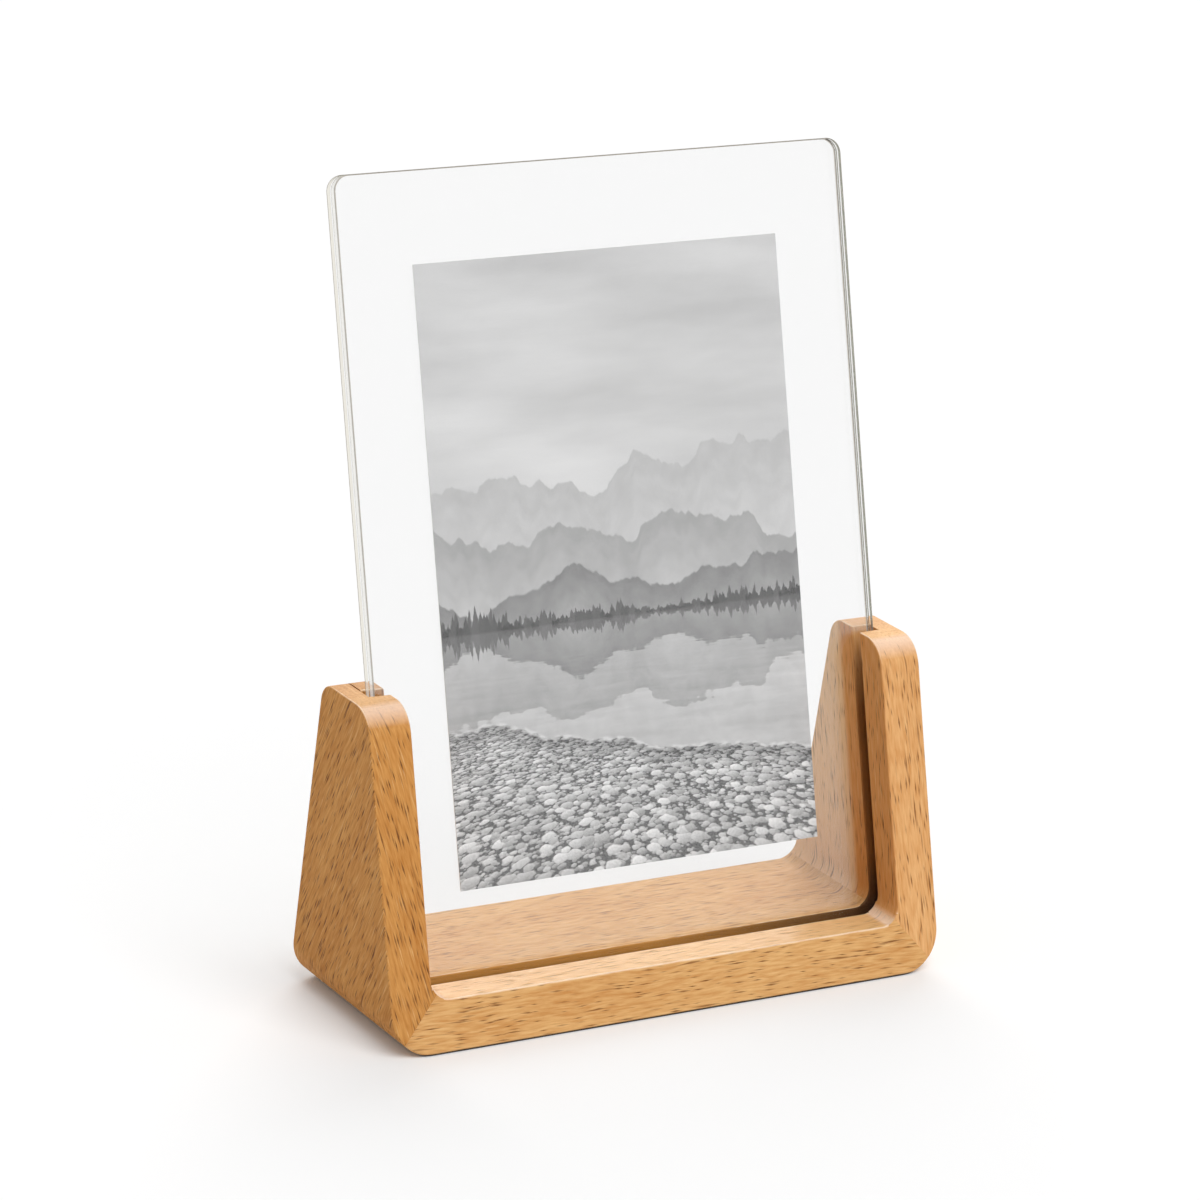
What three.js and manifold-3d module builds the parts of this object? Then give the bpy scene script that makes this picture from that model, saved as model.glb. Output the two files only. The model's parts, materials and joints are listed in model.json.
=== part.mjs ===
// Acrylic and wood photo frame: a mitred beech stand with a groove that holds two clear sheets,
// and a print held between the sheets.
// Millimetres, +Z up, +X to the right of someone facing the print, front towards -Y.
// The origin is the middle of the stand's footprint, on the surface it stands on.

import * as THREE from 'three';
import { mergeVertices } from 'three/addons/utils/BufferGeometryUtils.js';
import Module from 'manifold-3d';

const wasm = await Module();
wasm.setup();

// Print
const PRINT_WIDTH = 101.6;
const PRINT_HEIGHT = 152.4;
const PRINT_THICKNESS = 0.25;
const PRINT_PLAY = 0.15; // between the print and each sheet

// Clear sheets, sized by the print and the clear margins round it
const SIDE_MARGIN = 20;
const TOP_MARGIN = 22.7;
const BOTTOM_MARGIN = 26.4; // part of it stands in the rail's groove
const SHEET_THICKNESS = 2;
const SHEET_CORNER_RADIUS = 4;
const SHEET_ARRIS = 0.25; // polished break along the sheet's edges

// Groove in the stand
const LIP_THICKNESS = 9.6; // wood in front of the groove, square to the front face
const UPRIGHT_GROOVE_DEPTH = 5.8;
const RAIL_GROOVE_DEPTH = 5.5; // along the lean, at the groove's front edge
const SHEET_SIDE_PLAY = 1.3; // from each sheet edge to the end of the groove
const SHEET_FACE_PLAY = 0.2; // in front of the front sheet, and behind the rear one
const SHEET_SEAT_GAP = 0.3; // under the sheets' lower edges

// Stand
const STAND_DEPTH = 58.6; // of the foot, front to back
const UPRIGHT_HEIGHT = 82.2;
const UPRIGHT_THICKNESS = 11.2;
const RAIL_THICKNESS = 12.8;
const LEAN_DEGREES = 14; // front faces and sheets, back from vertical
const REAR_SLOPE_DEGREES = 9.5; // rear faces, forward from vertical
const OUTER_CORNER_RADIUS = 11;
const INNER_COVE_RADIUS = 4.8;
const TOP_FRONT_RADIUS = 8.5;
const TOP_REAR_RADIUS = 5.3;
const GLUE_LINE = 0.1; // between glued faces

// Dowels across each mitre, in the wood in front of the groove
const DOWEL_DIAMETER = 3;
const DOWEL_LENGTH = 8;
const DOWEL_CHAMFER = 0.4;
const DOWEL_CLEARANCE = 0.2;
const DOWEL_SPACING = 5.5; // along the mitre

// Fineness of round stretches, and how far a cutting block reaches past the wood
const ARC_STEPS = 12;
const DOWEL_SIDES = 20;
const CUT_MARGIN = 10;

// Sizes that follow from the ones above
const lean = THREE.MathUtils.degToRad(LEAN_DEGREES);
const rearSlope = THREE.MathUtils.degToRad(REAR_SLOPE_DEGREES);
const sheetWidth = PRINT_WIDTH + 2 * SIDE_MARGIN;
const sheetHeight = BOTTOM_MARGIN + PRINT_HEIGHT + TOP_MARGIN;
const grooveSpan = sheetWidth + 2 * SHEET_SIDE_PLAY;
const standWidth = grooveSpan + 2 * (UPRIGHT_THICKNESS - UPRIGHT_GROOVE_DEPTH);
const printFront = LIP_THICKNESS + SHEET_FACE_PLAY + SHEET_THICKNESS + PRINT_PLAY;
const rearSheetFront = printFront + PRINT_THICKNESS + PRINT_PLAY;
const grooveRear = rearSheetFront + SHEET_THICKNESS + SHEET_FACE_PLAY;
const railTopAlongLean = (RAIL_THICKNESS + LIP_THICKNESS * Math.sin(lean)) / Math.cos(lean);
const grooveFloor = railTopAlongLean - RAIL_GROOVE_DEPTH;
const sheetFoot = grooveFloor + SHEET_SEAT_GAP;

// The leaning frame: X across, Y square to the front face and rearward, Z up the lean,
// from the front edge of the foot.
const leanGroup = new THREE.Group();
leanGroup.position.y = -STAND_DEPTH / 2;
leanGroup.rotation.x = -lean;
leanGroup.updateMatrix();

const beech = new THREE.MeshStandardMaterial({ color: 0xc9965c, roughness: 0.6, metalness: 0 });
const dowelBeech = new THREE.MeshStandardMaterial({ color: 0xd3aa78, roughness: 0.7, metalness: 0 });
const acrylic = new THREE.MeshStandardMaterial({
  color: 0xf3f6f5,
  roughness: 0.05,
  metalness: 0,
  transparent: true,
  opacity: 0.3,
});
const photoPaper = new THREE.MeshStandardMaterial({ color: 0xb4b4b4, roughness: 0.35, metalness: 0 });

/** Makes a solid that can be cut and joined from a closed geometry. */
function solidOf(geometry) {
  const bare = geometry.clone();
  bare.deleteAttribute('normal');
  bare.deleteAttribute('uv');
  const welded = mergeVertices(bare);
  return new wasm.Manifold(new wasm.Mesh({
    numProp: 3,
    vertProperties: new Float32Array(welded.attributes.position.array),
    triVerts: new Uint32Array(welded.index.array),
  }));
}

/** Makes a geometry from a solid. */
function geometryOf(solid) {
  const mesh = solid.getMesh();
  const geometry = new THREE.BufferGeometry();
  geometry.setAttribute('position', new THREE.BufferAttribute(mesh.vertProperties, 3));
  geometry.setIndex(new THREE.BufferAttribute(mesh.triVerts, 1));
  geometry.computeVertexNormals();
  return geometry;
}

/** Adds a named piece to a group. */
function addPiece(group, name, geometry, material) {
  const mesh = new THREE.Mesh(geometry, material);
  mesh.name = name;
  group.add(mesh);
  return mesh;
}

/** Extrudes an outline drawn across and up (X, Z) from one depth to another along Y. */
function extrudeRearward(shape, front, depth, arris = 0) {
  const geometry = new THREE.ExtrudeGeometry(shape, {
    depth: depth - 2 * arris,
    curveSegments: ARC_STEPS,
    bevelEnabled: arris > 0,
    bevelThickness: arris,
    bevelSize: arris,
    bevelOffset: -arris,
    bevelSegments: 1,
  });
  const across = new THREE.Vector3(1, 0, 0);
  const up = new THREE.Vector3(0, 0, 1);
  const forward = new THREE.Vector3(0, -1, 0);
  geometry.applyMatrix4(new THREE.Matrix4().makeBasis(across, up, forward));
  geometry.translate(0, front + depth - arris, 0);
  return geometry;
}

/** Extrudes a side outline drawn rearward and up (Y, Z) across the whole stand. */
function extrudeAcross(shape) {
  const width = standWidth + 2 * CUT_MARGIN;
  const geometry = new THREE.ExtrudeGeometry(shape, {
    depth: width,
    curveSegments: ARC_STEPS,
    bevelEnabled: false,
  });
  const rearward = new THREE.Vector3(0, 1, 0);
  const up = new THREE.Vector3(0, 0, 1);
  const across = new THREE.Vector3(1, 0, 0);
  geometry.applyMatrix4(new THREE.Matrix4().makeBasis(rearward, up, across));
  geometry.translate(-width / 2, 0, 0);
  return geometry;
}

/** Draws the U of the stand as seen from the front, with its tops left long. */
function standFrontOutline() {
  const half = standWidth / 2;
  const inner = half - UPRIGHT_THICKNESS;
  const outerRadius = OUTER_CORNER_RADIUS;
  const cove = INNER_COVE_RADIUS;
  const top = UPRIGHT_HEIGHT + CUT_MARGIN;
  const shape = new THREE.Shape();
  shape.moveTo(-half + outerRadius, 0);
  shape.lineTo(half - outerRadius, 0);
  shape.absarc(half - outerRadius, outerRadius, outerRadius, -Math.PI / 2, 0, false);
  shape.lineTo(half, top);
  shape.lineTo(inner, top);
  shape.lineTo(inner, RAIL_THICKNESS + cove);
  shape.absarc(inner - cove, RAIL_THICKNESS + cove, cove, 0, -Math.PI / 2, true);
  shape.lineTo(-inner + cove, RAIL_THICKNESS);
  shape.absarc(-inner + cove, RAIL_THICKNESS + cove, cove, -Math.PI / 2, -Math.PI, true);
  shape.lineTo(-inner, top);
  shape.lineTo(-half, top);
  shape.lineTo(-half, outerRadius);
  shape.absarc(-half + outerRadius, outerRadius, outerRadius, Math.PI, 1.5 * Math.PI, false);
  return shape;
}

/** Draws the stand as seen from the side: leaning front, sloping rear and rounded top. */
function standSideOutline() {
  const half = STAND_DEPTH / 2;
  const below = -CUT_MARGIN;
  const front = TOP_FRONT_RADIUS;
  const frontRun = (UPRIGHT_HEIGHT - front * (1 - Math.sin(lean))) / Math.cos(lean);
  const frontCentre = -half + frontRun * Math.sin(lean) + front * Math.cos(lean);
  const rear = TOP_REAR_RADIUS;
  const rearRun = (UPRIGHT_HEIGHT - rear * (1 - Math.sin(rearSlope))) / Math.cos(rearSlope);
  const rearCentre = half - rearRun * Math.sin(rearSlope) - rear * Math.cos(rearSlope);
  const shape = new THREE.Shape();
  shape.moveTo(-half + below * Math.tan(lean), below);
  shape.lineTo(-half + frontRun * Math.sin(lean), frontRun * Math.cos(lean));
  shape.absarc(frontCentre, UPRIGHT_HEIGHT - front, front, Math.PI - lean, Math.PI / 2, true);
  shape.absarc(rearCentre, UPRIGHT_HEIGHT - rear, rear, Math.PI / 2, rearSlope, true);
  shape.lineTo(half - below * Math.tan(rearSlope), below);
  return shape;
}

/** Draws an upright rectangle with round lower corners, and round upper ones where asked. */
function roundedOutline(width, foot, top, radius, upperRadius) {
  const half = width / 2;
  const shape = new THREE.Shape();
  shape.moveTo(-half + radius, foot);
  shape.lineTo(half - radius, foot);
  shape.absarc(half - radius, foot + radius, radius, -Math.PI / 2, 0, false);
  if (upperRadius > 0) {
    shape.absarc(half - upperRadius, top - upperRadius, upperRadius, 0, Math.PI / 2, false);
    shape.absarc(-half + upperRadius, top - upperRadius, upperRadius, Math.PI / 2, Math.PI, false);
  } else {
    shape.lineTo(half, top);
    shape.lineTo(-half, top);
  }
  shape.absarc(-half + radius, foot + radius, radius, Math.PI, 1.5 * Math.PI, false);
  return shape;
}

// The mitre runs from the outer corner of the stand to the corner of its opening.
const mitreLength = Math.hypot(UPRIGHT_THICKNESS, RAIL_THICKNESS);
const mitreAcross = UPRIGHT_THICKNESS / mitreLength;
const mitreUp = RAIL_THICKNESS / mitreLength;

/** Finds a point by its distance along a mitre from the outer corner, and off it towards the upright. */
function mitrePoint(side, along, off) {
  const inward = along * mitreAcross - off * mitreUp;
  const height = along * mitreUp + off * mitreAcross;
  return new THREE.Vector2(side * (standWidth / 2 - inward), height);
}

/** Makes the block that keeps the wood of one upright, above its mitre. */
function uprightRegion(side) {
  const low = mitrePoint(side, -CUT_MARGIN, GLUE_LINE / 2);
  const high = mitrePoint(side, mitreLength + CUT_MARGIN, GLUE_LINE / 2);
  const outside = side * (standWidth / 2 + CUT_MARGIN);
  const top = UPRIGHT_HEIGHT + 2 * CUT_MARGIN;
  const outline = new THREE.Shape([
    low,
    high,
    new THREE.Vector2(high.x, top),
    new THREE.Vector2(outside, top),
    new THREE.Vector2(outside, low.y),
  ]);
  return solidOf(extrudeRearward(outline, -STAND_DEPTH, 2 * STAND_DEPTH));
}

/** Makes the block that keeps the wood of the rail, below both mitres. */
function railRegion() {
  const outline = new THREE.Shape([
    mitrePoint(-1, -CUT_MARGIN, -GLUE_LINE / 2),
    mitrePoint(1, -CUT_MARGIN, -GLUE_LINE / 2),
    mitrePoint(1, mitreLength + CUT_MARGIN, -GLUE_LINE / 2),
    mitrePoint(-1, mitreLength + CUT_MARGIN, -GLUE_LINE / 2),
  ]);
  return solidOf(extrudeRearward(outline, -STAND_DEPTH, 2 * STAND_DEPTH));
}

/** Makes a block in the leaning frame, from one depth behind the front face to past the rear. */
function leaningBlock(xFrom, xTo, front) {
  const depth = 2 * STAND_DEPTH;
  const height = UPRIGHT_HEIGHT + STAND_DEPTH + 2 * CUT_MARGIN;
  const block = new THREE.BoxGeometry(Math.abs(xTo - xFrom), depth, height);
  block.translate((xFrom + xTo) / 2, front + depth / 2, height / 2 - CUT_MARGIN);
  block.applyMatrix4(leanGroup.matrix);
  return solidOf(block);
}

/** Makes the turned shape of a dowel, or of its hole when it is given a clearance. */
function dowelGeometry(clearance) {
  const radius = DOWEL_DIAMETER / 2 + clearance;
  const half = DOWEL_LENGTH / 2 + clearance;
  const profile = [
    new THREE.Vector2(0, -half),
    new THREE.Vector2(radius - DOWEL_CHAMFER, -half),
    new THREE.Vector2(radius, -half + DOWEL_CHAMFER),
    new THREE.Vector2(radius, half - DOWEL_CHAMFER),
    new THREE.Vector2(radius - DOWEL_CHAMFER, half),
    new THREE.Vector2(0, half),
  ];
  return new THREE.LatheGeometry(profile, DOWEL_SIDES);
}

/** Finds how far along a mitre the wood starts at the rounded corner, and ends at the cove. */
function mitreWood() {
  const sum = mitreAcross + mitreUp;
  const toArc = sum - Math.sqrt(sum * sum - 1);
  return {
    start: OUTER_CORNER_RADIUS * toArc,
    end: mitreLength + INNER_COVE_RADIUS * toArc,
  };
}

/** Places a dowel square across a mitre, midway through the wood in front of the groove. */
function dowelMesh(side, name, offset) {
  const wood = mitreWood();
  const centre = mitrePoint(side, (wood.start + wood.end) / 2 + offset, 0);
  const mesh = new THREE.Mesh(dowelGeometry(0), dowelBeech);
  mesh.name = name;
  mesh.position.set(
    centre.x,
    -STAND_DEPTH / 2 + LIP_THICKNESS / 2 / Math.cos(lean) + centre.y * Math.tan(lean),
    centre.y,
  );
  const axis = new THREE.Vector3(side * mitreUp, 0, mitreAcross);
  mesh.quaternion.setFromUnitVectors(new THREE.Vector3(0, 1, 0), axis);
  mesh.updateMatrix();
  return mesh;
}

/** Makes the hole that a dowel sits in. */
function dowelHole(dowel) {
  return solidOf(dowelGeometry(DOWEL_CLEARANCE).applyMatrix4(dowel.matrix));
}

// Stand: a U of wood, cut by the groove and parted at the mitres
const stand = new THREE.Group();
const frontBlank = solidOf(extrudeRearward(standFrontOutline(), -STAND_DEPTH, 2 * STAND_DEPTH));
const standBlank = frontBlank.intersect(solidOf(extrudeAcross(standSideOutline())));

const grooveTop = (UPRIGHT_HEIGHT + STAND_DEPTH) / Math.cos(lean);
const grooveOutline = roundedOutline(grooveSpan, grooveFloor, grooveTop, SHEET_CORNER_RADIUS, 0);
const grooveGeometry = extrudeRearward(grooveOutline, LIP_THICKNESS, grooveRear - LIP_THICKNESS);
const groove = solidOf(grooveGeometry.applyMatrix4(leanGroup.matrix));

let rail = standBlank.intersect(railRegion()).subtract(groove);

for (const [sideName, side] of [['left', -1], ['right', 1]]) {
  const dowels = [
    dowelMesh(side, `${sideName}_outer_dowel`, -DOWEL_SPACING / 2),
    dowelMesh(side, `${sideName}_inner_dowel`, DOWEL_SPACING / 2),
  ];

  // The groove of an upright is a rabbet, open to the rear, which a glued strip closes again.
  const grooveEnd = side * grooveSpan / 2;
  const stripSide = side * (grooveSpan / 2 - GLUE_LINE);
  const opening = side * (grooveSpan / 2 - UPRIGHT_GROOVE_DEPTH - INNER_COVE_RADIUS - CUT_MARGIN);
  const blank = standBlank.intersect(uprightRegion(side));
  let upright = blank.subtract(leaningBlock(grooveEnd, opening, LIP_THICKNESS));
  const strip = blank.intersect(leaningBlock(stripSide, opening, grooveRear));

  for (const dowel of dowels) {
    const hole = dowelHole(dowel);
    upright = upright.subtract(hole);
    rail = rail.subtract(hole);
    stand.add(dowel);
  }
  addPiece(stand, `${sideName}_upright`, geometryOf(upright), beech);
  addPiece(stand, `${sideName}_rear_strip`, geometryOf(strip), beech);
}
addPiece(stand, 'base_rail', geometryOf(rail), beech);

// Sheets and print, standing in the groove
const sheetOutline = roundedOutline(
  sheetWidth,
  sheetFoot,
  sheetFoot + sheetHeight,
  SHEET_CORNER_RADIUS,
  SHEET_CORNER_RADIUS,
);
const frontSheetFront = LIP_THICKNESS + SHEET_FACE_PLAY;
const frontSheet = extrudeRearward(sheetOutline, frontSheetFront, SHEET_THICKNESS, SHEET_ARRIS);
addPiece(leanGroup, 'front_sheet', frontSheet, acrylic);
const rearSheet = extrudeRearward(sheetOutline, rearSheetFront, SHEET_THICKNESS, SHEET_ARRIS);
addPiece(leanGroup, 'rear_sheet', rearSheet, acrylic);

const print = new THREE.BoxGeometry(PRINT_WIDTH, PRINT_THICKNESS, PRINT_HEIGHT);
print.translate(0, printFront + PRINT_THICKNESS / 2, sheetFoot + BOTTOM_MARGIN + PRINT_HEIGHT / 2);
addPiece(leanGroup, 'photo_print', print, photoPaper);

const photoFrame = new THREE.Group();
photoFrame.name = 'photo_frame';
photoFrame.add(stand, leanGroup);

export default photoFrame;
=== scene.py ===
"""Dresses the acrylic and wood photo frame: oiled beech, clear cast acrylic and a black and white print.

Blender works in metres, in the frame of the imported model: +Z up, +X to the right of someone who
faces the print, front towards -Y. Sizes in the fields below are in millimetres unless they say otherwise.
"""

from __future__ import annotations

import json
import logging
import math
from collections.abc import Callable, Mapping, Sequence
from dataclasses import dataclass, field
from enum import Enum
from functools import partial

import bmesh
import bpy
from mathutils import Matrix, Vector, noise


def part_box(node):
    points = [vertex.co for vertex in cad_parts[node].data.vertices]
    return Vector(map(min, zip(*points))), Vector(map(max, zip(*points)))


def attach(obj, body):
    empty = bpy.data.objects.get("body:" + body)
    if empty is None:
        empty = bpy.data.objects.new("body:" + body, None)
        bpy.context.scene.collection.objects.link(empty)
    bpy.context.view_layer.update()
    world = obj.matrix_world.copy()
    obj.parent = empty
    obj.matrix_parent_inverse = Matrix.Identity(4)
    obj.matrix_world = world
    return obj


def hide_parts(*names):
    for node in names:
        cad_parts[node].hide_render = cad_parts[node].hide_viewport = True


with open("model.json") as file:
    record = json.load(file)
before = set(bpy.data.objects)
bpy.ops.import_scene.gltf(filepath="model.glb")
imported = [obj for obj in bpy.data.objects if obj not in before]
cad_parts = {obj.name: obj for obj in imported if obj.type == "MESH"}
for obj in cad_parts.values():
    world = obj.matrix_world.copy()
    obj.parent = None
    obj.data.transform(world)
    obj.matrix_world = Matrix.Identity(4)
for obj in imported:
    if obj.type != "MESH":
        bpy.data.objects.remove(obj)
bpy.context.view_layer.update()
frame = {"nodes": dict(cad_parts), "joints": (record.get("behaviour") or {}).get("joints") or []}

log = logging.getLogger("photo_frame")

MM = 0.001
IMAGE_PIXELS = 1200
SENSOR_WIDTH = 36.0
WELD_DISTANCE = 0.001
FLAT_ANGLE = math.radians(0.5)
SHARP_ANGLE = math.radians(40)
ACRYLIC_IOR = 1.49
RIGHT = Vector((1.0, 0.0, 0.0))
# What a board's mesh stores about each corner of its faces, besides its place in the log.
# Several of these place painted shade, painted highlights, painted sheen and a painted veil.
STORED = ("end_grain", "arris", "rubbed_and_sheen", "groove", "inner", "depth")

Socket = bpy.types.NodeSocket
AddNode = Callable[..., Socket]
Span = tuple[float, float]
Triple = tuple[float, float, float]


class Side(Enum):
    """The side of the frame that a piece is on, as the sign of its X."""

    LEFT = -1
    RIGHT = 1


def linear(hex_colour: str) -> tuple[float, float, float, float]:
    """Turns an sRGB hex colour to linear.

    Args:
        hex_colour: "#" and six hex digits.

    Returns:
        Linear red, green and blue, and an alpha of 1.
    """
    shares = [int(hex_colour[place:place + 2], 16) / 255 for place in (1, 3, 5)]
    red, green, blue = [c / 12.92 if c <= 0.04045 else ((c + 0.055) / 1.055) ** 2.4 for c in shares]
    return red, green, blue, 1.0


def per_mm(*sizes: float) -> tuple[float, ...]:
    """Gives the pattern scales at which one unit of a texture spans these sizes in millimetres."""
    return tuple(1 / size for size in sizes)


def add_node(
    tree: bpy.types.NodeTree,
    kind: str,
    inputs: Mapping[str, object] | Sequence[object] = (),
    out: str | None = None,
    **settings: object,
) -> Socket | None:
    """Adds a node with its settings, and links or sets its inputs.

    Args:
        tree: the node tree that gets the node.
        kind: the node's type without its "ShaderNode" prefix, then its operation or data type, if any.
        inputs: sockets or values, by input name, or in the order of the inputs that the settings leave on.
        out: the name of the output wanted, or None for the first one that the settings leave on.
        **settings: the node's own options.

    Returns:
        The wanted output socket, or None where the node has no outputs.
    """
    kind, *modes = kind.split()
    node = tree.nodes.new("ShaderNode" + kind)
    for mode in modes:
        settings["data_type" if kind == "Mix" else "operation"] = mode
    for option, value in settings.items():
        setattr(node, option, value)
    if isinstance(inputs, Mapping):
        pairs = [(node.inputs[name], value) for name, value in inputs.items()]
    else:
        pairs = list(zip([socket for socket in node.inputs if socket.enabled], inputs))
    for socket, value in pairs:
        if isinstance(value, Socket):
            tree.links.new(value, socket)
        else:
            socket.default_value = value
    if out is not None:
        return node.outputs[out]
    return next((socket for socket in node.outputs if socket.enabled), None)


def new_object(name: str, data: bpy.types.ID) -> bpy.types.Object:
    """Puts a mesh, camera or light into the scene.

    Args:
        name: the new object's name.
        data: what it shows.

    Returns:
        The object.
    """
    made = bpy.data.objects.new(name, data)
    bpy.context.scene.collection.objects.link(made)
    return made


def new_mesh(name: str, shape: bmesh.types.BMesh) -> bpy.types.Mesh:
    """Makes a mesh of a shape.

    Args:
        name: the new mesh's name.
        shape: the shape, which is freed.

    Returns:
        The mesh.
    """
    mesh = bpy.data.meshes.new(name)
    shape.to_mesh(mesh)
    shape.free()
    return mesh


@dataclass(frozen=True, kw_only=True)
class Finish:
    """A real material and the way its surface was made, which it is named for."""

    name: str

    def material(self) -> bpy.types.Material:
        """Makes the material from the finish's shader.

        Returns:
            The finished material.
        """
        made = bpy.data.materials.new(self.name)
        made.use_nodes = True
        made.node_tree.nodes.clear()
        add = partial(add_node, made.node_tree)
        add("OutputMaterial", [self.shader(add)])
        return made

    def shader(self, add: AddNode) -> Socket:
        """Builds the shader with the function that adds a node to the material."""
        raise NotImplementedError

    def place(self, add: AddNode) -> Socket:
        """Gives each point's place on its piece, in millimetres."""
        metres = add("TexCoord", out="Object")
        return add("VectorMath MULTIPLY", [metres, per_mm(MM, MM, MM)])


@dataclass(frozen=True)
class Cloud:
    """Soft noise: the size of a patch along each axis, its finer layers, and the span of it that shows.

    Noise runs from 0 to 1. It shows as the least up to the low end of the span, and as the most above it.
    """

    size: Triple
    detail: float
    low: float = 0.0
    high: float = 1.0
    least: float = 0.0
    most: float = 1.0
    dimensions: str = "3D"

    def draw(self, add: AddNode, place: Socket) -> Socket:
        """Draws the noise.

        Args:
            add: adds a node to the material.
            place: where each point is, in millimetres.

        Returns:
            What shows at each point.
        """
        scaled = add("Mapping", {"Vector": place, "Scale": per_mm(*self.size)})
        cloud = add("TexNoise", [scaled, 1.0, self.detail], noise_dimensions=self.dimensions)
        return add("MapRange", [cloud, self.low, self.high, self.least, self.most])


@dataclass(frozen=True)
class Dashes:
    """Dashes scattered along the grain: the room for one, along and across, and how the rooms are filled.

    A share of the rooms holds a dash. The largest reaches that much of its room each way from its middle.
    """

    along: float
    across: float
    share: float
    reach: float
    smallest: float = 0.4
    core: float = 0.35
    evenness: float = 0.6

    def draw(self, add: AddNode, wood: Socket) -> Socket:
        """Draws the dashes, each pointed, with its own size and strength.

        Args:
            add: adds a node to the material.
            wood: where each point is along the grain and across it, in millimetres.

        Returns:
            The dashes, from 0 to 1.
        """
        place = add("Mapping", {"Vector": wood, "Scale": per_mm(self.along, self.across, 1.0)})
        pointed = {"voronoi_dimensions": "2D", "distance": "MANHATTAN"}
        middle = add("TexVoronoi", [place, 1.0], "Distance", **pointed)
        chance = add("SeparateColor", [middle.node.outputs["Color"]], "Red")
        outer = add("MapRange", [chance, 0.0, 1.0, self.smallest * self.reach, self.reach])
        inner = add("Math MULTIPLY", [outer, self.core])
        mark = add("MapRange", [middle, outer, inner])
        strength = add("MapRange", [chance.node.outputs["Green"], 1 - self.share, 1.0])
        strength = add("Math POWER", [strength, self.evenness])
        return add("Math MULTIPLY", [mark, strength])


@dataclass(frozen=True)
class Tint:
    """A colour, and the share of it that shows where it is strongest."""

    colour: str
    share: float = 1.0

    def lay(self, add: AddNode, body: Socket, amount: Socket) -> Socket:
        """Lays the colour over another.

        Args:
            add: adds a node to the material.
            body: the colour underneath.
            amount: how strong the tint is at each point, from 0 to 1.

        Returns:
            The tinted colour.
        """
        amount = add("Math MULTIPLY", [amount, self.share])
        return add("Mix RGBA", [amount, body, linear(self.colour)])


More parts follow.
